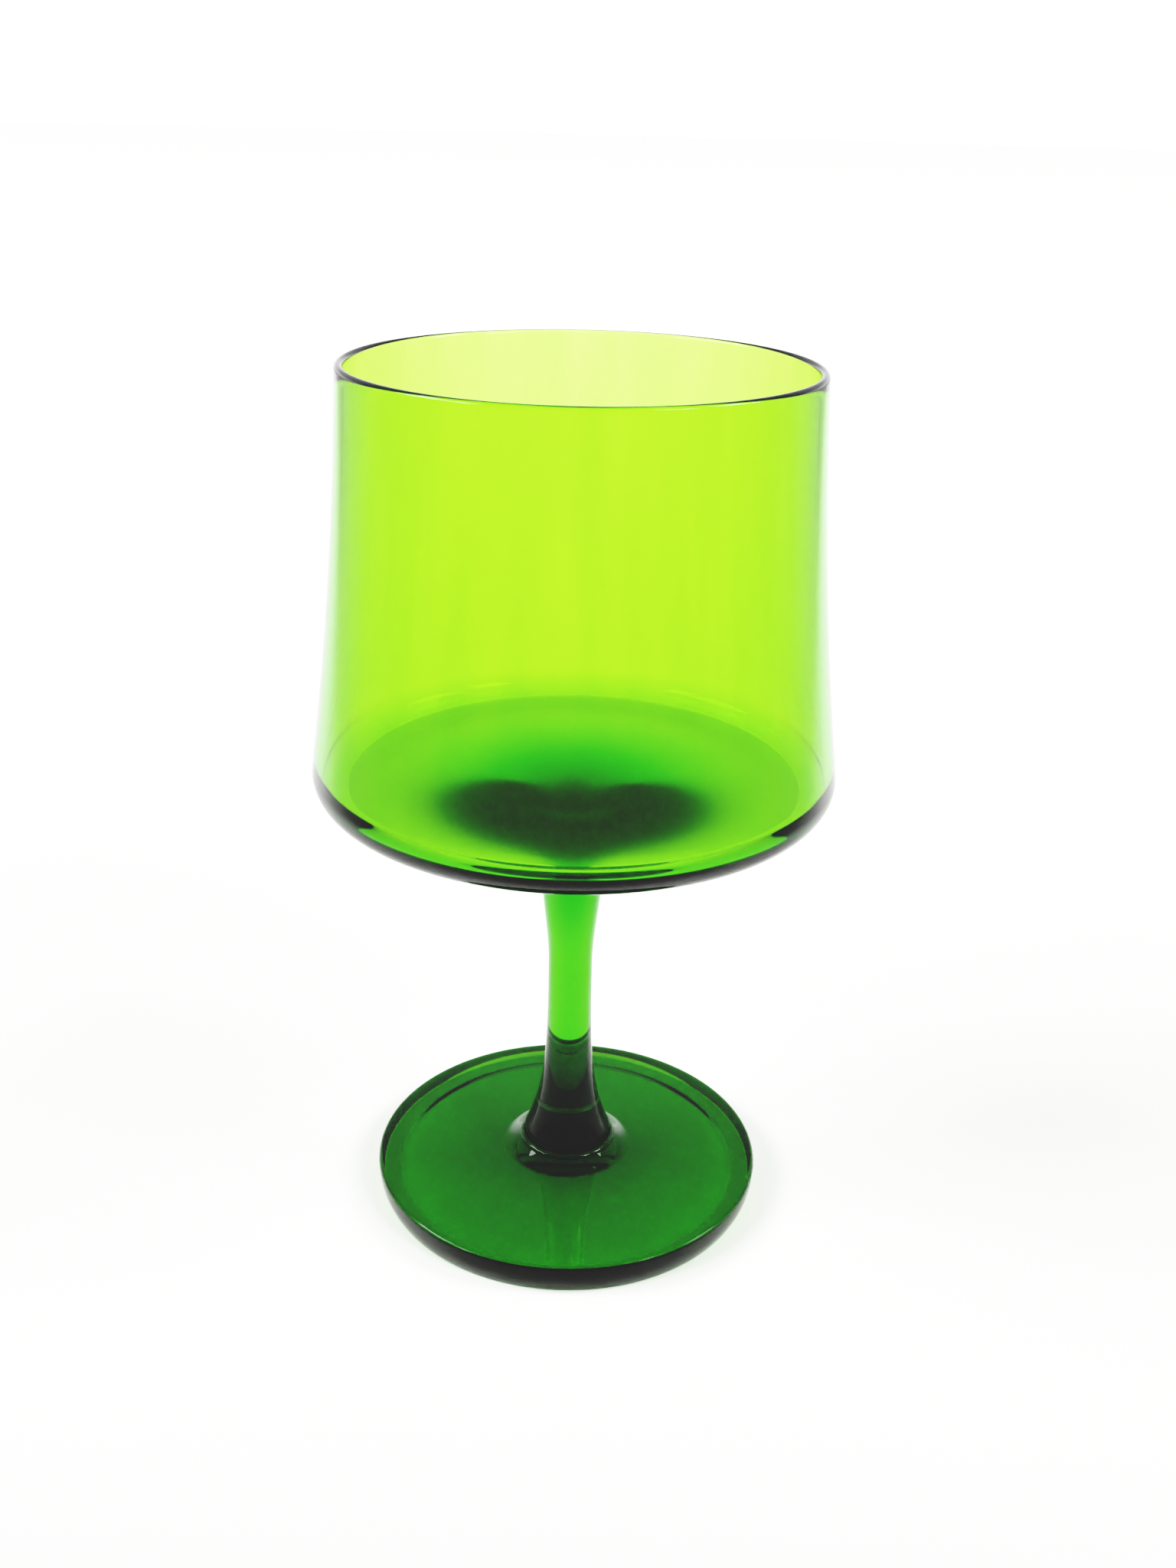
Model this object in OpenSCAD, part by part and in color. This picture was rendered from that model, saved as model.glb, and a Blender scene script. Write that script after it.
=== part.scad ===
// Wine glass: a deep, slightly tapering bowl on a short drawn stem and a heavy round foot.
// Four pieces of hot-worked glass meet face to face on the axis: foot, collar, stem and bowl.
// The origin is the centre of the underside, +Z points up and the sizes are millimetres.

/* [Overall] */
// Height of the glass, from the table to the rim
glass_h = 160; // [145:1:190]

/* [Foot] */
// Outer diameter of the foot
foot_d = 75; // [66:0.5:95]
// Height of the foot's top edge above the table
foot_edge_h = 5.9; // [4.5:0.1:8]
// How much higher the foot stands under the collar than at its edge
foot_rise = 1.2; // [0:0.1:3]
// Radius of the foot's top edge
foot_edge_r = 0.8; // [0.4:0.1:1.5]
// How far the side tucks in under the edge on its way down to the table
foot_tuck = 1.2; // [0.5:0.1:3]
// How low the side starts to tuck in: more keeps it upright for longer
foot_tuck_sweep = 2.5; // [1.2:0.1:5]
// Width of the ring that the glass stands on
rest_ring_w = 2.4; // [1.5:0.1:6]
// Depth of the shallow recess inside that ring
recess_depth = 0.5; // [0.3:0.1:2]
// Width of the soft slope between the recess and that ring
recess_slope_w = 3; // [1:0.1:6]

/* [Collar] */
// Diameter of the collar where it spreads onto the foot
collar_d = 25.2; // [22:0.1:32]
// Height of the collar
collar_h = 2.6; // [2:0.1:5]
// Diameter of the collar's top, which the stem stands on
collar_top_d = 18.8; // [18.4:0.1:21]
// Radius of the edge round that top
collar_edge_r = 0.8; // [0.3:0.1:1.5]
// How suddenly the flank flattens out towards the foot
collar_sweep = 1.3; // [1.1:0.1:2.5]

/* [Stem] */
// Diameter of the stem at its waist, the narrowest place
waist_d = 8.4; // [7:0.1:11]
// Height of the waist above the base of the stem
waist_h = 38; // [26:1:40]
// Diameter of the swell at the base of the stem
stem_base_d = 16.8; // [14:0.1:18]
// Radius of the lip round that swell
stem_lip_r = 2.2; // [1.2:0.1:3]
// How suddenly the stem widens towards its base: more keeps it slim for longer
base_flare = 3.8; // [2.5:0.1:6]
// Diameter of the stem at its neck, where the trumpet under the bowl begins
neck_d = 11.4; // [10:0.1:18]

/* [Bowl] */
// Height of the bowl, from its underside to the rim
bowl_h = 75.8; // [60:0.1:84]
// Outer diameter of the belly, just above the heel
belly_d = 93.9; // [76:0.1:112]
// Outer diameter of the rim
rim_d = 80.9; // [66:0.1:112]
// How far the wall bows inwards between the belly and the rim
wall_hollow = 0.9; // [0:0.1:3]
// Thickness of the wall at the rim
rim_wall = 1.6; // [1.2:0.1:2.6]
// Thickness of the wall at the belly
belly_wall = 1.9; // [1.5:0.1:3.5]
// Thickness of the floor outside the trumpet
floor_t = 3; // [2:0.1:6]
// Outer radius of the heel, between the wall and the underside
heel_r = 5.4; // [3:0.1:8]
// Inner radius between the wall and the floor
inner_heel_r = 4; // [2:0.1:10]
// Height of the trumpet that spreads from the stem's neck to the underside of the bowl
trumpet_h = 16; // [8:0.1:20]
// Width of the flat ring left between the trumpet and the heel
under_ring_w = 5; // [1:0.1:12]
// How far above the neck the bowl's glass begins
bowl_joint_rise = 6; // [1:0.1:7]

/* [Hidden] */

glass_green = [0.20, 0.62, 0.13, 0.75];
$fn = 180;
curve_steps = 24;
arc_steps = 12;

foot_r = foot_d / 2;
foot_hub_h = foot_edge_h + foot_rise;
rest_outer_r = foot_r - foot_tuck;
rest_inner_r = rest_outer_r - rest_ring_w;

collar_r = collar_d / 2;
collar_top_r = collar_top_d / 2;
stem_z = foot_hub_h + collar_h;
bowl_z = glass_h - bowl_h;
joint_drop = trumpet_h - bowl_joint_rise;
stem_len = bowl_z - joint_drop - stem_z;

waist_r = waist_d / 2;
stem_base_r = stem_base_d / 2;
stem_lip_drop = stem_lip_r / 2;
neck_r = neck_d / 2;
neck_h = bowl_z - trumpet_h - stem_z;
// The lip ends where its tangent meets the flare above it
lip_end = atan(base_flare * (stem_base_r - waist_r) / waist_h);

belly_r = belly_d / 2;
trumpet_edge_r = belly_r - heel_r - under_ring_w;
rim_r = rim_d / 2;
wall_high = bowl_h - rim_wall / 2;
// The heel ends where its tangent meets the wall above it
heel_end = atan((belly_r - rim_r + 4 * wall_hollow) / (wall_high - heel_r));
wall_low = heel_r * (1 + sin(heel_end));
wall_low_r = belly_r - heel_r * (1 - cos(heel_end));

// Points on an arc about a centre [r, z], from angle a to angle b
function arc(centre, radius, a, b) =
    [for (i = [0:arc_steps])
        let (t = a + (b - a) * i / arc_steps)
        [centre[0] + radius * cos(t), centre[1] + radius * sin(t)]];

// Outer radius of the bowl's wall at height h above its underside
function wall_r(h) =
    let (t = (h - wall_low) / (wall_high - wall_low))
    wall_low_r + (rim_r - wall_low_r) * t - 4 * wall_hollow * t * (1 - t);

// Thickness of the wall at that height
function wall_t(h) =
    belly_wall + (rim_wall - belly_wall) * (h - wall_low) / (wall_high - wall_low);

// Radius of the trumpet at a depth below the underside: a quarter of an ellipse, upright at the neck
function trumpet_r(drop) =
    neck_r + (trumpet_edge_r - neck_r) * (1 - sqrt(1 - pow(1 - drop / trumpet_h, 2)));

// A shape turned about the axis, from its outline in [r, z]
module turned(outline) {
    rotate_extrude() polygon(outline);
}

module foot() {
    side_h = foot_edge_h - foot_edge_r;
    edge_centre = [foot_r - foot_edge_r, side_h];
    // The recess ends in a soft slope down to the ring that the glass stands on
    slope = [for (i = [0:arc_steps])
        let (t = i / arc_steps)
        [rest_inner_r - recess_slope_w * (1 - t), recess_depth * (1 + cos(180 * t)) / 2]];
    // The side is upright under the edge and turns in towards the table
    side = [for (i = [0:arc_steps])
        let (t = i / arc_steps)
        [foot_r - foot_tuck * pow(1 - t, foot_tuck_sweep), side_h * t]];
    color(glass_green)
    turned(concat(
        [[0, recess_depth]],
        slope,
        side,
        arc(edge_centre, foot_edge_r, 0, 90),
        [[collar_r, foot_hub_h], [0, foot_hub_h]]));
}

module collar() {
    edge_centre = [collar_top_r - collar_edge_r, collar_h - collar_edge_r];
    flank = [for (i = [0:arc_steps])
        let (t = i / arc_steps)
        [collar_r - (collar_r - collar_top_r) * t, edge_centre[1] * pow(t, collar_sweep)]];
    color(glass_green)
    translate([0, 0, foot_hub_h])
    turned(concat([[0, 0]], flank, arc(edge_centre, collar_edge_r, 0, 90), [[0, collar_h]]));
}

module stem() {
    lip_centre = [stem_base_r - stem_lip_r, stem_lip_drop];
    lip = arc(lip_centre, stem_lip_r, -asin(stem_lip_drop / stem_lip_r), lip_end);
    lip_top = lip[arc_steps];
    // From the lip up to the waist
    lower = [for (i = [1:curve_steps])
        let (t = 1 - i / curve_steps)
        [waist_r + (lip_top[0] - waist_r) * pow(t, base_flare), waist_h - (waist_h - lip_top[1]) * t]];
    // From the waist up to the neck, upright at both
    upper = [for (i = [1:curve_steps])
        let (t = i / curve_steps)
        [waist_r + (neck_r - waist_r) * (1 - cos(180 * t)) / 2, waist_h + (neck_h - waist_h) * t]];
    // The foot of the trumpet, up to the joint with the bowl
    trumpet = [for (i = [1:arc_steps])
        let (drop = trumpet_h - bowl_joint_rise * i / arc_steps)
        [trumpet_r(drop), bowl_z - stem_z - drop]];
    color(glass_green)
    translate([0, 0, stem_z])
    turned(concat([[0, 0]], lip, lower, upper, trumpet, [[0, stem_len]]));
}

module bowl() {
    inner_low = floor_t + inner_heel_r;
    // The rest of the trumpet; its points close up towards the underside, where it turns flat
    trumpet = [for (i = [0:curve_steps])
        let (drop = joint_drop * (1 - sin(90 * i / curve_steps)))
        [trumpet_r(drop), -drop]];
    heel = arc([belly_r - heel_r, heel_r], heel_r, -90, heel_end);
    outside = [for (i = [1:curve_steps])
        let (h = wall_low + (wall_high - wall_low) * i / curve_steps)
        [wall_r(h), h]];
    rim = arc([rim_r - rim_wall / 2, wall_high], rim_wall / 2, 0, 180);
    inside = [for (i = [1:curve_steps])
        let (h = wall_high + (inner_low - wall_high) * i / curve_steps)
        [wall_r(h) - wall_t(h), h]];
    inner_side = wall_r(inner_low) - wall_t(inner_low);
    inner_heel = arc([inner_side - inner_heel_r, inner_low], inner_heel_r, 0, -90);
    color(glass_green)
    translate([0, 0, bowl_z])
    turned(concat(
        [[0, -joint_drop]], trumpet, heel, outside, rim, inside, inner_heel, [[0, floor_t]]));
}

foot();
collar();
stem();
bowl();
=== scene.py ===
"""A green wine glass in a plain studio: four pieces of hot-worked glass round the CAD frame."""

import math

import bmesh
import bpy
from mathutils import Matrix, Vector


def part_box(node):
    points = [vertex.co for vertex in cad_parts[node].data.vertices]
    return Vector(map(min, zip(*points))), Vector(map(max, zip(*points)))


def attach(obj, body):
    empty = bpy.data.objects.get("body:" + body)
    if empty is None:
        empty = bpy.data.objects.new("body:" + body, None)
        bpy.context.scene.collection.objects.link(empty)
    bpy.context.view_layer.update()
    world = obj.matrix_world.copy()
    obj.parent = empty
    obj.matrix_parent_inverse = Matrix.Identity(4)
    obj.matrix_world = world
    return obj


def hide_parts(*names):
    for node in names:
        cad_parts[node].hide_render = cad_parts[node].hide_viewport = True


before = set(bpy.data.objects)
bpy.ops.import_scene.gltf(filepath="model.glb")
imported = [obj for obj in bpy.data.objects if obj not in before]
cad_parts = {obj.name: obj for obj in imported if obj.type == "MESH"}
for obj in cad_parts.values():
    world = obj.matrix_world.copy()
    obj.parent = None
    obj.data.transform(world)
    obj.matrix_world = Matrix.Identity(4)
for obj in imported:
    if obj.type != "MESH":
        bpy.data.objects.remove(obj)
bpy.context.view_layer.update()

MM = 0.001
Z = Vector((0, 0, 1))

# ---- sizes of the glass, in millimetres -----------------------------------------------------
ROUND_STEPS = 256        # steps of each full turn about the axis
ARC_STEPS = 16           # steps of a quarter-round in an outline
CURVE_STEPS = 40         # steps of a long curve in an outline
HOLD = 0.3               # a point this far from a curve's end keeps the flat beyond it flat
JOINT_GAP = 0.01         # each joined face stands back this far, so no two faces coincide
WELD = 0.0005            # points of a spun outline closer than this become one
SHARP = 35               # an edge turning more than this many degrees stays crisp
LEVEL = 0.99999          # a face is level if its normal is at least this close to upright

# The foot: its edge, how far and how low its side tucks in, and the ring round its recess
FOOT_EDGE_H, FOOT_EDGE_R, FOOT_TUCK, FOOT_TUCK_SWEEP = 5.9, 0.8, 1.2, 2.5
REST_RING_W, RECESS_DEPTH, RECESS_SLOPE_W = 2.4, 0.5, 3.0
# The collar's top, the edge round it, and how suddenly its flank flattens out
COLLAR_TOP_R, COLLAR_EDGE_R, COLLAR_SWEEP = 9.4, 0.8, 1.3
# The stem: the lip at its base, its waist, its neck and the share of the trumpet that it holds
STEM_BASE_R, STEM_LIP_R, STEM_LIP_DROP = 8.4, 2.2, 1.1
WAIST_R, WAIST_H, BASE_FLARE = 4.2, 38.0, 3.8
NECK_R, TRUMPET_H, JOINT_RISE = 5.7, 16.0, 6.0
# The bowl: the flat ring round the trumpet, its heel, its floor, its rim and its wall
UNDER_RING_W, HEEL_R, INNER_HEEL_R, FLOOR_T = 5.0, 5.4, 4.0, 3.0
RIM_R, WALL_HOLLOW, RIM_WALL, BELLY_WALL = 40.45, 0.9, 1.6, 1.9
FLOOR_REACH = 40.0                      # the inside floor lies within this radius
JOINT_DROP = TRUMPET_H - JOINT_RISE     # from the bowl's underside down to the joint with the stem

# ---- look of the glass, in millimetres where it is a size -----------------------------------
GLASS_IOR = 1.52
TAKEN_UP = (360, 114, 1120)             # how strongly it takes up red, green and blue, per metre
DEEPEST = 1300.0                        # the scale of those three
ABSORB = tuple(1 - strength / DEEPEST for strength in TAKEN_UP) + (1,)
DRAW_WIDTH, DRAW_LENGTH, DRAW_DEPTH = 6.0, 60.0, 0.006
CORD_DARK, CORD_PALE = "#F6FCF3", "#FFFFFF"
CORD_FROM, CORD_TO = 0.3, 0.7           # of the draw lines' pattern
SEED_APART, SEED_R, SEED_CORE, SEED_SHADE = 14.0, 0.16, 0.7, 0.55
SMUDGE_SIZE, SMUDGE_ROUGH = 12.0, 0.03
SMUDGE_FROM, SMUDGE_TO = 0.55, 0.8      # of the smudges' pattern
WEAR_HEIGHT, WEAR_CORE, WEAR_ROUGH = 0.15, 0.4, 0.35
FLOOR_ROUGH = 0.3        # of the bowl's inside floor
GLOSS_TINT = "#909090"   # less than white turns down the gloss seen head-on

# ---- look of the studio ---------------------------------------------------------------------
FLOOR_RADIUS, FLOOR_SIDES = 8.0, 96     # metres
FLOOR_DROP = 0.05                       # millimetres between the paper and the standing ring
# The first colour is painted shade, for the weaker light on the camera's side; the second is the
# paper's own white
PAPER_PAINTED_SHADE, PAPER_WHITE = "#A8A8A6", "#F2F2F0"
# The paper is white behind the front line and between the side lines, which spread backwards (m); the
# grey outside them is painted shade, for the weaker light on the camera's side
PAPER_FRONT, PAPER_SIDE, PAPER_SPREAD, PAPER_FADE = 0.03, 0.15, 0.36, 0.17
FIBRE_SIZE, FIBRE_DEPTH = 0.4, 0.05     # millimetres
FIBRE_BUMP, PAPER_ROUGH = 0.2, 0.9
# The room's light at the horizon, its scale, and the share of it on the camera's side
HORIZON, WORLD_TOP, FRONT_SHARE = 2.0, 4.0, 0.4
FRONT_FULL, FRONT_END = -0.6, -0.1      # where the camera's side begins and ends, along Y
WORLD_STOPS = [(0.10, 2.0), (0.26, 1.0), (0.72, 0.8), (0.88, 0.7)]     # height, light
LAMP_AWAY = 30           # metres
GLOW = 20.5
# Each lamp's name, azimuth, height, span and rise in degrees
LAMPS = [("left_side", -89, 40, 30, 20), ("left_front", -62, 40, 16, 20),
         ("right_front", 50, 40, 20, 20), ("right_side", 88, 40, 24, 20)]
CLAMP = 30.0
# The contrast of the picture: light in, as a share of WHITE, and light out
WHITE = 2
TONE = [(0, 0.016), (0.025, 0.026), (0.05, 0.08), (0.075, 0.14),
        (0.25, 0.52), (0.5, 0.8), (0.625, 0.9), (1, 1)]
BOUNCES, GLOSSY_BOUNCES = 32, 16


# ---- outlines --------------------------------------------------------------------------------
def extent(node):
    """A turned CAD node's outer radius, underside and top, in millimetres."""
    low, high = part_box(node)
    return high.x / MM, low.z / MM, high.z / MM


def arc(r, z, radius, start, end, steps=ARC_STEPS):
    """Points on an arc about (r, z), between two angles in degrees."""
    turns = (math.radians(start + (end - start) * i / steps) for i in range(steps + 1))
    return [(r + radius * math.cos(t), z + radius * math.sin(t)) for t in turns]


def foot_outline():
    """A thick disc: its side tucks in to a standing ring round a shallow recess."""
    radius, low, hub = extent("foot")
    collar_r = extent("collar")[0]
    rest_inner = radius - FOOT_TUCK - REST_RING_W
    side_h = FOOT_EDGE_H - FOOT_EDGE_R
    turns = [math.pi * i / ARC_STEPS for i in range(ARC_STEPS + 1)]
    slope = [(rest_inner - RECESS_SLOPE_W * (1 - i / ARC_STEPS),
              RECESS_DEPTH * (1 + math.cos(t)) / 2) for i, t in enumerate(turns)]
    under = [(0, RECESS_DEPTH), (slope[0][0] - HOLD, RECESS_DEPTH)] + slope
    side = [(radius - FOOT_TUCK * (1 - i / ARC_STEPS) ** FOOT_TUCK_SWEEP, side_h * i / ARC_STEPS)
            for i in range(ARC_STEPS + 1)]
    edge = arc(radius - FOOT_EDGE_R, side_h, FOOT_EDGE_R, 0, 90)
    top = [(radius - FOOT_EDGE_R - HOLD, FOOT_EDGE_H), (collar_r, hub)]
    return under + side + edge + top + [(collar_r, hub - JOINT_GAP), (0, hub - JOINT_GAP)]


def collar_outline():
    """The low ring between the stem and the foot: a flank sweeping up to a rounded top edge."""
    radius, low, high = extent("collar")
    low, joint = low + JOINT_GAP, high - JOINT_GAP
    stem_r = STEM_BASE_R - STEM_LIP_R + math.sqrt(STEM_LIP_R ** 2 - STEM_LIP_DROP ** 2)
    edge = arc(COLLAR_TOP_R - COLLAR_EDGE_R, high - COLLAR_EDGE_R, COLLAR_EDGE_R, 0, 90)
    shares = [i / ARC_STEPS for i in range(ARC_STEPS)]
    flank = [(radius - (radius - COLLAR_TOP_R) * t,
              low + (high - COLLAR_EDGE_R - low) * t ** COLLAR_SWEEP) for t in shares]
    return [(0, low)] + flank + edge + [(stem_r, high), (stem_r, joint), (0, joint)]


def trumpet(drops):
    """The trumpet under the bowl at depths below the underside: a quarter of an ellipse."""
    belly_r, joint = extent("bowl")[:2]
    edge_r, under = belly_r - HEEL_R - UNDER_RING_W, joint + JOINT_DROP
    shares = [(drop, 1 - drop / TRUMPET_H) for drop in drops]
    return [(NECK_R + (edge_r - NECK_R) * (1 - math.sqrt(1 - rise * rise)), under - drop)
            for drop, rise in shares]


def stem_outline():
    """A rounded lip at the base, a waist, a neck and the foot of the trumpet."""
    low, high = extent("stem")[1:]
    lip_end = math.degrees(math.atan(BASE_FLARE * (STEM_BASE_R - WAIST_R) / WAIST_H))
    lip_start = -math.degrees(math.asin(STEM_LIP_DROP / STEM_LIP_R))
    lip = arc(STEM_BASE_R - STEM_LIP_R, low + STEM_LIP_DROP, STEM_LIP_R, lip_start, lip_end)
    lip_r, lip_z = lip[-1]
    lip[0] = (lip[0][0], low + JOINT_GAP)
    waist_z, neck_z = low + WAIST_H, high - JOINT_RISE
    steps = [i / CURVE_STEPS for i in range(1, CURVE_STEPS + 1)]
    lower = [(WAIST_R + (lip_r - WAIST_R) * (1 - t) ** BASE_FLARE, lip_z + (waist_z - lip_z) * t)
             for t in steps]
    upper = [(WAIST_R + (NECK_R - WAIST_R) * (1 - math.cos(math.pi * t)) / 2,
              waist_z + (neck_z - waist_z) * t) for t in steps]
    flare = trumpet([TRUMPET_H - JOINT_RISE * i / ARC_STEPS for i in range(1, ARC_STEPS + 1)])
    flare[-1] = (flare[-1][0], high - JOINT_GAP)
    return [(0, low + JOINT_GAP)] + lip + lower + upper + flare + [(0, high - JOINT_GAP)]


def bowl_outline():
    """The rest of the trumpet, the heel, the wall up to the round rim, and the inside."""
    belly_r, joint, high = extent("bowl")
    low = joint + JOINT_DROP
    wall_high = high - RIM_WALL / 2
    heel_end = math.atan((belly_r - RIM_R + 4 * WALL_HOLLOW) / (wall_high - low - HEEL_R))
    wall_low = low + HEEL_R * (1 + math.sin(heel_end))
    wall_low_r = belly_r - HEEL_R * (1 - math.cos(heel_end))

    def share(z):
        return (z - wall_low) / (wall_high - wall_low)

    def outer(z):
        t = share(z)
        return wall_low_r + (RIM_R - wall_low_r) * t - 4 * WALL_HOLLOW * t * (1 - t)

    def inner(z):
        return outer(z) - BELLY_WALL - (RIM_WALL - BELLY_WALL) * share(z)

    turns = [math.pi / 2 * i / CURVE_STEPS for i in range(CURVE_STEPS + 1)]
    under = trumpet([JOINT_DROP * (1 - math.sin(t)) for t in turns])
    under[0] = (under[0][0], joint + JOINT_GAP)
    heel = arc(belly_r - HEEL_R, low + HEEL_R, HEEL_R, -90, math.degrees(heel_end))
    heights = [wall_low + (wall_high - wall_low) * i / CURVE_STEPS for i in range(1, CURVE_STEPS)]
    outside = [(outer(z), z) for z in heights]
    rim = arc(RIM_R - RIM_WALL / 2, wall_high, RIM_WALL / 2, 0, 180)
    inner_low = low + FLOOR_T + INNER_HEEL_R
    inside = [(inner(z), z) for z in reversed(heights) if z > inner_low]
    inner_heel = arc(inner(inner_low) - INNER_HEEL_R, inner_low, INNER_HEEL_R, 0, -90)
    return ([(0, joint + JOINT_GAP)] + under + heel + outside + rim + inside + inner_heel
            + [(inner_heel[-1][0] - HOLD, low + FLOOR_T), (0, low + FLOOR_T)])


# ---- meshes ----------------------------------------------------------------------------------
def turned(name, outline):
    """A closed piece: the outline, from axis to axis, spun round the glass's axis."""
    bm = bmesh.new()
    verts = [bm.verts.new((r * MM, 0, z * MM)) for r, z in outline]
    edges = [bm.edges.new(pair) for pair in zip(verts, verts[1:])]
    bmesh.ops.spin(bm, geom=verts + edges, cent=(0, 0, 0), axis=Z, angle=math.tau,
                   steps=ROUND_STEPS, use_merge=True)
    bmesh.ops.remove_doubles(bm, verts=bm.verts, dist=WELD * MM)
    bmesh.ops.recalc_face_normals(bm, faces=bm.faces)
    if bm.calc_volume(signed=True) < 0:
        bmesh.ops.reverse_faces(bm, faces=bm.faces)
    for face in bm.faces:
        face.smooth = True
    for edge in bm.edges:
        edge.smooth = edge.calc_face_angle(0) < math.radians(SHARP)
    mesh = bpy.data.meshes.new(name)
    bm.to_mesh(mesh)
    bm.free()
    piece = bpy.data.objects.new(name, mesh)
    bpy.context.scene.collection.objects.link(piece)
    return piece


def mark_faces(piece, name, places):
    """Marks the level faces at each (height, radius) in millimetres, for the material to read."""
    marks = piece.data.attributes.new(name, "FLOAT", "FACE")
    for face, mark in zip(piece.data.polygons, marks.data):
        centre = face.center
        reach = math.hypot(centre.x, centre.y) / MM
        level = abs(face.normal.z) > LEVEL
        mark.value = float(level and any(
            abs(centre.z / MM - z) < 1.5 * JOINT_GAP and reach < r for z, r in places))


# ---- materials -------------------------------------------------------------------------------
def linear(hex_colour):
    """The linear colour of an sRGB hex string."""
    parts = [int(hex_colour[i:i + 2], 16) / 255 for i in (1, 3, 5)]
    return [c / 12.92 if c <= 0.04045 else ((c + 0.055) / 1.055) ** 2.4 for c in parts] + [1.0]


def add(tree, kind, settings=None, links=None):
    """Adds a node, sets its properties and sockets, and links sockets to other nodes' outputs."""
    made = tree.nodes.new(kind)
    for key, value in (settings or {}).items():
        if isinstance(key, int) or key in made.inputs.keys():
            made.inputs[key].default_value = value
        else:
            setattr(made, key, value)
    for key, source in (links or {}).items():
        tree.links.new(source, made.inputs[key])
    return made


def green_glass():
    """Soda-lime glass coloured green in the melt, drawn, blown and fire-polished."""
    material = bpy.data.materials.new("green soda-lime glass, fire-polished")
    material.use_nodes = True
    tree = material.node_tree
    tree.nodes.clear()
    place = add(tree, "ShaderNodeTexCoord").outputs["Object"]
    height = add(tree, "ShaderNodeSeparateXYZ", {}, {"Vector": place}).outputs["Z"]
    # Draw lines: faint upright waves left in the skin as the glass was drawn out
    drawn = add(tree, "ShaderNodeMapping", {"Scale": (1.0, 1.0, DRAW_WIDTH / DRAW_LENGTH)},
                {"Vector": place})
    lines = add(tree, "ShaderNodeTexNoise", {"Scale": 1 / (DRAW_WIDTH * MM), "Detail": 1.0},
                {"Vector": drawn.outputs["Vector"]}).outputs["Fac"]
    skin = add(tree, "ShaderNodeBump", {"Strength": 1.0, "Distance": DRAW_DEPTH * MM},
               {"Height": lines})
    # Cords: streaks of slightly stronger and weaker green
    cords = add(tree, "ShaderNodeMapRange", {"From Min": CORD_FROM, "From Max": CORD_TO},
                {"Value": lines})
    tint = add(tree, "ShaderNodeMix", {"data_type": "RGBA", 6: linear(CORD_DARK), 7: linear(CORD_PALE)},
               {0: cords.outputs["Result"]})
    # Seeds: rare tiny bubbles, seen as dark specks
    cells = add(tree, "ShaderNodeTexVoronoi", {"Scale": 1 / (SEED_APART * MM)}, {"Vector": place})
    near = SEED_R / SEED_APART
    seeds = add(tree, "ShaderNodeMapRange", {"From Min": SEED_CORE * near, "From Max": near,
                                             "To Min": SEED_SHADE, "To Max": 1.0},
                {"Value": cells.outputs["Distance"]})
    colour = add(tree, "ShaderNodeMix", {"data_type": "RGBA", "blend_type": "MULTIPLY", 0: 1.0},
                 {6: tint.outputs[2], 7: seeds.outputs["Result"]})
    # Handling leaves soft smudges; the ring that the glass stands on is ground dull by use
    smears = add(tree, "ShaderNodeTexNoise", {"Scale": 1 / (SMUDGE_SIZE * MM), "Detail": 4.0},
                 {"Vector": place})
    smudge = add(tree, "ShaderNodeMapRange", {"From Min": SMUDGE_FROM, "From Max": SMUDGE_TO,
                                              "To Max": SMUDGE_ROUGH},
                 {"Value": smears.outputs["Fac"]})
    wear = add(tree, "ShaderNodeMapRange", {"From Min": WEAR_CORE * WEAR_HEIGHT * MM,
                                            "From Max": WEAR_HEIGHT * MM,
                                            "To Min": WEAR_ROUGH, "To Max": 0.0}, {"Value": height})
    dull = add(tree, "ShaderNodeMath", {"operation": "MAXIMUM"},
               {0: smudge.outputs["Result"], 1: wear.outputs["Result"]})
    # The bowl's inside floor is a little rough, which softens what is seen through it
    inside_floor = add(tree, "ShaderNodeAttribute", {"attribute_name": "inside_floor"})
    rough = add(tree, "ShaderNodeMath", {"operation": "MULTIPLY_ADD", 1: FLOOR_ROUGH},
                {0: inside_floor.outputs["Fac"], 2: dull.outputs["Value"]})
    # Where two pieces are fused there is no surface left to see
    fused = add(tree, "ShaderNodeAttribute", {"attribute_name": "fused"})
    ior = add(tree, "ShaderNodeMapRange", {"To Min": GLASS_IOR, "To Max": 1.0},
              {"Value": fused.outputs["Fac"]})
    surface = add(tree, "ShaderNodeBsdfPrincipled",
                  {"Transmission Weight": 1.0, "Specular Tint": linear(GLOSS_TINT)},
                  {"Base Color": colour.outputs[2], "Roughness": rough.outputs["Value"],
                   "IOR": ior.outputs["Result"], "Normal": skin.outputs["Normal"]})
    depth = add(tree, "ShaderNodeVolumeAbsorption", {"Color": ABSORB, "Density": DEEPEST})
    add(tree, "ShaderNodeOutputMaterial", {},
        {"Surface": surface.outputs["BSDF"], "Volume": depth.outputs["Volume"]})
    return material


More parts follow.
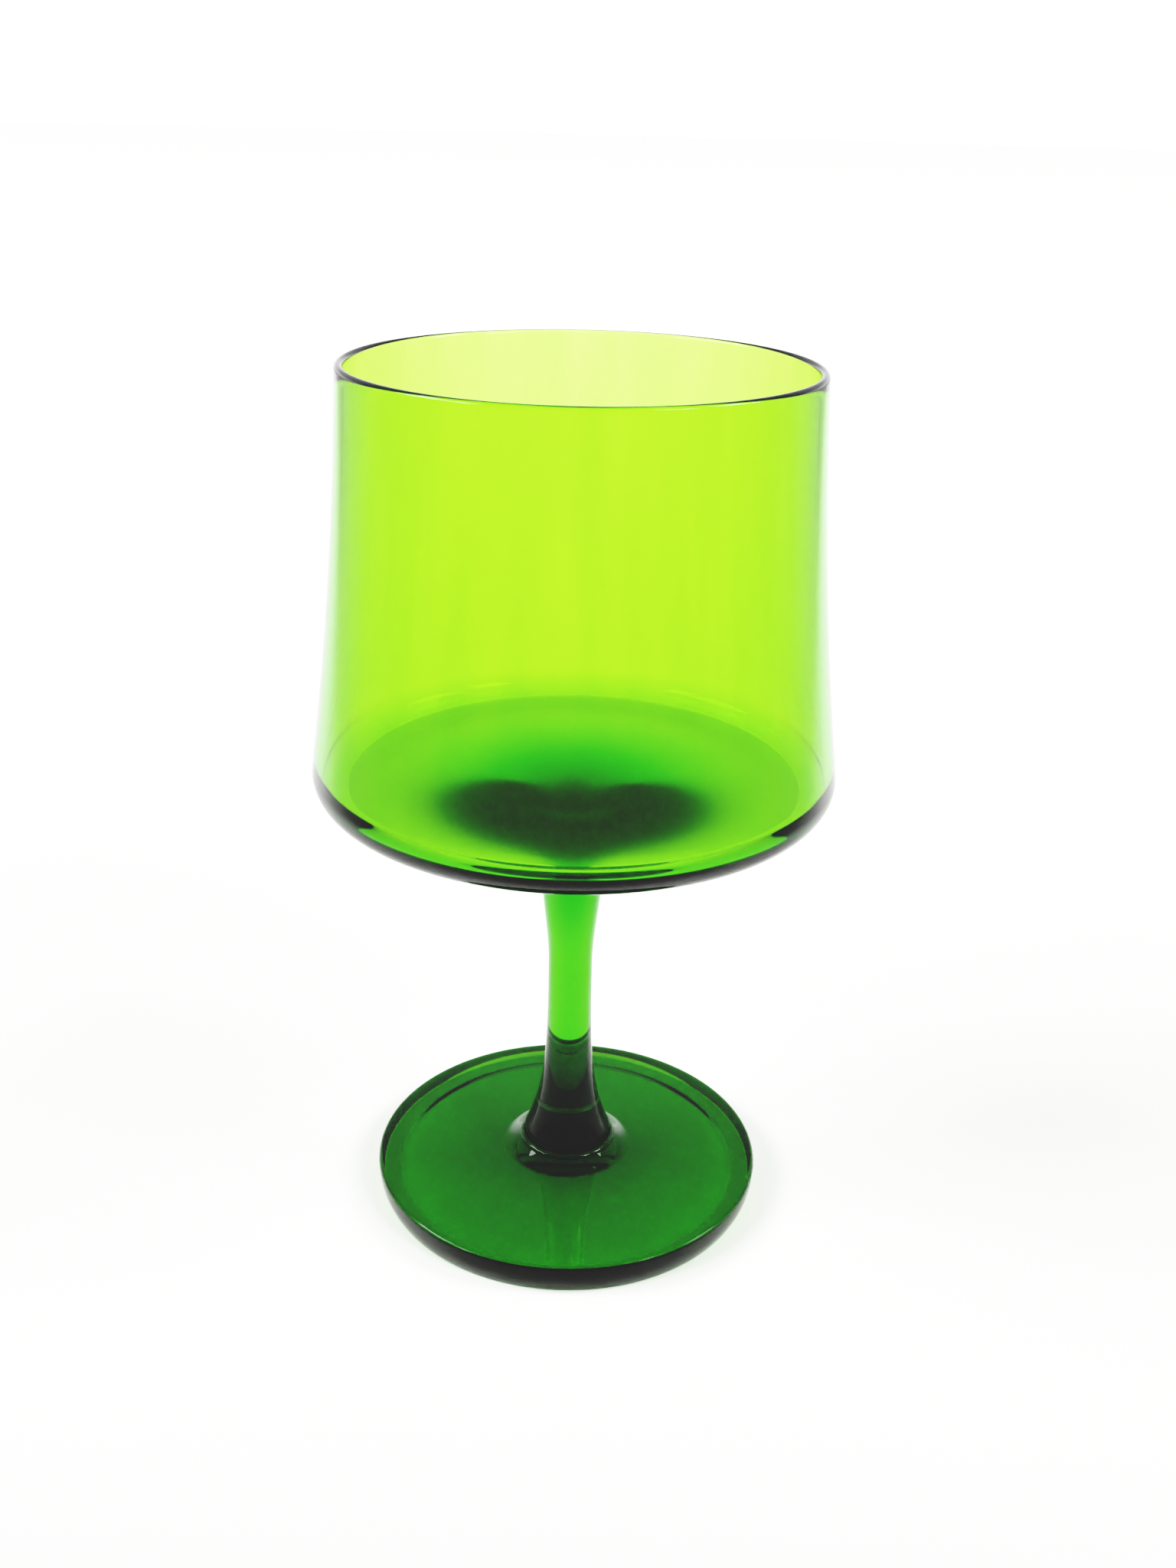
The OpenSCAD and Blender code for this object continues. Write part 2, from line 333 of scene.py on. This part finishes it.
def paper_with_painted_shade():
    """Matte white background paper round the glass, with painted shade grading it to grey on the
    camera's side.
    """
    material = bpy.data.materials.new("matte background paper with painted shade")
    material.use_nodes = True
    tree = material.node_tree
    tree.nodes.clear()
    place = add(tree, "ShaderNodeTexCoord")
    across = add(tree, "ShaderNodeSeparateXYZ", {}, {"Vector": place.outputs["Object"]})
    fibre = add(tree, "ShaderNodeTexNoise", {"Scale": 1 / (FIBRE_SIZE * MM), "Detail": 3.0},
                {"Vector": place.outputs["Object"]})
    front = add(tree, "ShaderNodeMath", {"operation": "ADD", 1: PAPER_FRONT},
                {0: across.outputs["Y"]})
    side = add(tree, "ShaderNodeMath", {"operation": "ABSOLUTE"}, {0: across.outputs["X"]})
    width = add(tree, "ShaderNodeMath", {"operation": "MULTIPLY_ADD", 1: PAPER_SPREAD, 2: PAPER_SIDE},
                {0: across.outputs["Y"]})
    inside = add(tree, "ShaderNodeMath", {"operation": "SUBTRACT"},
                 {0: width.outputs["Value"], 1: side.outputs["Value"]})
    nearest = add(tree, "ShaderNodeMath", {"operation": "MINIMUM"},
                  {0: front.outputs["Value"], 1: inside.outputs["Value"]})
    reach = add(tree, "ShaderNodeMapRange", {"From Min": -PAPER_FADE, "From Max": 0.0},
                {"Value": nearest.outputs["Value"]})
    # Painted shade: white near the glass, fading to grey in front of it and off to the sides
    shade = add(tree, "ShaderNodeValToRGB", {}, {"Fac": reach.outputs["Result"]})
    shade.color_ramp.interpolation = "EASE"
    grey, white = shade.color_ramp.elements
    grey.color, white.color = linear(PAPER_PAINTED_SHADE), linear(PAPER_WHITE)
    bump = add(tree, "ShaderNodeBump", {"Strength": FIBRE_BUMP, "Distance": FIBRE_DEPTH * MM},
               {"Height": fibre.outputs["Fac"]})
    surface = add(tree, "ShaderNodeBsdfPrincipled", {"Roughness": PAPER_ROUGH},
                  {"Base Color": shade.outputs["Color"], "Normal": bump.outputs["Normal"]})
    add(tree, "ShaderNodeOutputMaterial", {}, {"Surface": surface.outputs["BSDF"]})
    return material


# ---- the glass -------------------------------------------------------------------------------
collar_r, collar_low, collar_top = extent("collar")
bowl_low = extent("bowl")[1]
bowl_floor = bowl_low + JOINT_DROP + FLOOR_T
bowl_joint_r = trumpet([JOINT_DROP])[0][0]
glass = green_glass()
# Each piece's outline, and the height and radius of each face where it is fused to a neighbour
PIECES = {
    "foot": (foot_outline, [(collar_low, collar_r)]),
    "collar": (collar_outline, [(collar_low, collar_r), (collar_top, STEM_BASE_R)]),
    "stem": (stem_outline, [(collar_top, STEM_BASE_R), (bowl_low, bowl_joint_r)]),
    "bowl": (bowl_outline, [(bowl_low, bowl_joint_r)]),
}
for node, (outline, joints) in PIECES.items():
    piece = turned("glass_" + node, outline())
    mark_faces(piece, "fused", joints)
    mark_faces(piece, "inside_floor", [(bowl_floor, FLOOR_REACH)])
    piece.data.materials.append(glass)
    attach(piece, "root")
    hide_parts(node)

# ---- the studio ------------------------------------------------------------------------------
bm = bmesh.new()
bmesh.ops.create_circle(bm, cap_ends=True, segments=FLOOR_SIDES, radius=FLOOR_RADIUS)
floor_mesh = bpy.data.meshes.new("floor")
bm.to_mesh(floor_mesh)
bm.free()
floor = bpy.data.objects.new("floor", floor_mesh)
bpy.context.scene.collection.objects.link(floor)
floor.location.z = -FLOOR_DROP * MM
floor_mesh.materials.append(paper_with_painted_shade())


def room():
    """Even soft light: brightest low down, softer overhead and dim on the camera's side."""
    world = bpy.data.worlds.new("studio")
    world.use_nodes = True
    tree = world.node_tree
    tree.nodes.clear()
    place = add(tree, "ShaderNodeTexCoord")
    way = add(tree, "ShaderNodeSeparateXYZ", {}, {"Vector": place.outputs["Generated"]})
    up = add(tree, "ShaderNodeValToRGB", {}, {"Fac": way.outputs["Z"]})
    stops = up.color_ramp.elements
    stops[1].position = 1.0
    levels = [(0.0, HORIZON)] + WORLD_STOPS
    while len(stops) < len(levels):
        stops.new(0.5)
    for stop, (height, level) in zip(stops, levels):
        stop.position, stop.color = height, (level / WORLD_TOP,) * 3 + (1,)
    behind = add(tree, "ShaderNodeMapRange",
                 {"From Min": FRONT_FULL, "From Max": FRONT_END,
                  "To Min": FRONT_SHARE * WORLD_TOP, "To Max": WORLD_TOP},
                 {"Value": way.outputs["Y"]})
    back = add(tree, "ShaderNodeBackground", {},
               {"Color": up.outputs["Color"], "Strength": behind.outputs["Result"]})
    add(tree, "ShaderNodeOutputWorld", {}, {"Surface": back.outputs["Background"]})
    return world


bpy.context.scene.world = room()


def softbox(name, azimuth, height, span, rise):
    """A soft lamp of a span and a rise in degrees; azimuth 0 is the camera's side, turning right."""
    light = bpy.data.lights.new(name, "AREA")
    light.shape = "RECTANGLE"
    light.size = 2 * LAMP_AWAY * math.tan(math.radians(span / 2)) * math.cos(math.radians(height))
    light.size_y = 2 * LAMP_AWAY * math.tan(math.radians(rise / 2))
    light.energy = GLOW * math.pi * light.size * light.size_y
    lamp = bpy.data.objects.new(name, light)
    turn, lift = math.radians(azimuth), math.radians(height)
    way = Vector((math.sin(turn) * math.cos(lift), -math.cos(turn) * math.cos(lift), math.sin(lift)))
    lamp.location = way * LAMP_AWAY
    lamp.rotation_euler = way.to_track_quat("Z", "Y").to_euler()
    bpy.context.scene.collection.objects.link(lamp)


for lamp_place in LAMPS:
    softbox(*lamp_place)

# ---- the camera ------------------------------------------------------------------------------
CAMERA_BACK, CAMERA_HEIGHT = 0.2704, 0.2012
LOOK_DOWN, TURN_RIGHT, LEAN = 23.27, 0.54, 1.37     # degrees
SENSOR, LENS, NEAREST = 36.0, 37.1, 0.01            # millimetres twice, then metres
camera_data = bpy.data.cameras.new("camera")
camera_data.sensor_width = SENSOR
camera_data.lens = LENS
camera_data.clip_start = NEAREST
camera = bpy.data.objects.new("camera", camera_data)
bpy.context.scene.collection.objects.link(camera)
aim = (Matrix.Rotation(-math.radians(TURN_RIGHT), 4, "Z")
       @ Matrix.Rotation(math.radians(90 - LOOK_DOWN), 4, "X")
       @ Matrix.Rotation(math.radians(LEAN), 4, "Z"))
camera.matrix_world = Matrix.Translation((0, -CAMERA_BACK, CAMERA_HEIGHT)) @ aim
scene = bpy.context.scene
scene.camera = camera

# ---- contrast and light paths ----------------------------------------------------------------
view = scene.view_settings
view.view_transform = "Standard"
view.use_curve_mapping = True
view.curve_mapping.white_level = (WHITE,) * 3
tone = view.curve_mapping.curves[3]     # the curve that all three colours share
for x, y in TONE[1:-1]:
    tone.points.new(x, y)
tone.points[0].location = TONE[0]
view.curve_mapping.update()
scene.cycles.max_bounces = BOUNCES
scene.cycles.transmission_bounces = BOUNCES
scene.cycles.glossy_bounces = GLOSSY_BOUNCES
scene.cycles.use_denoising = True
scene.cycles.sample_clamp_indirect = CLAMP
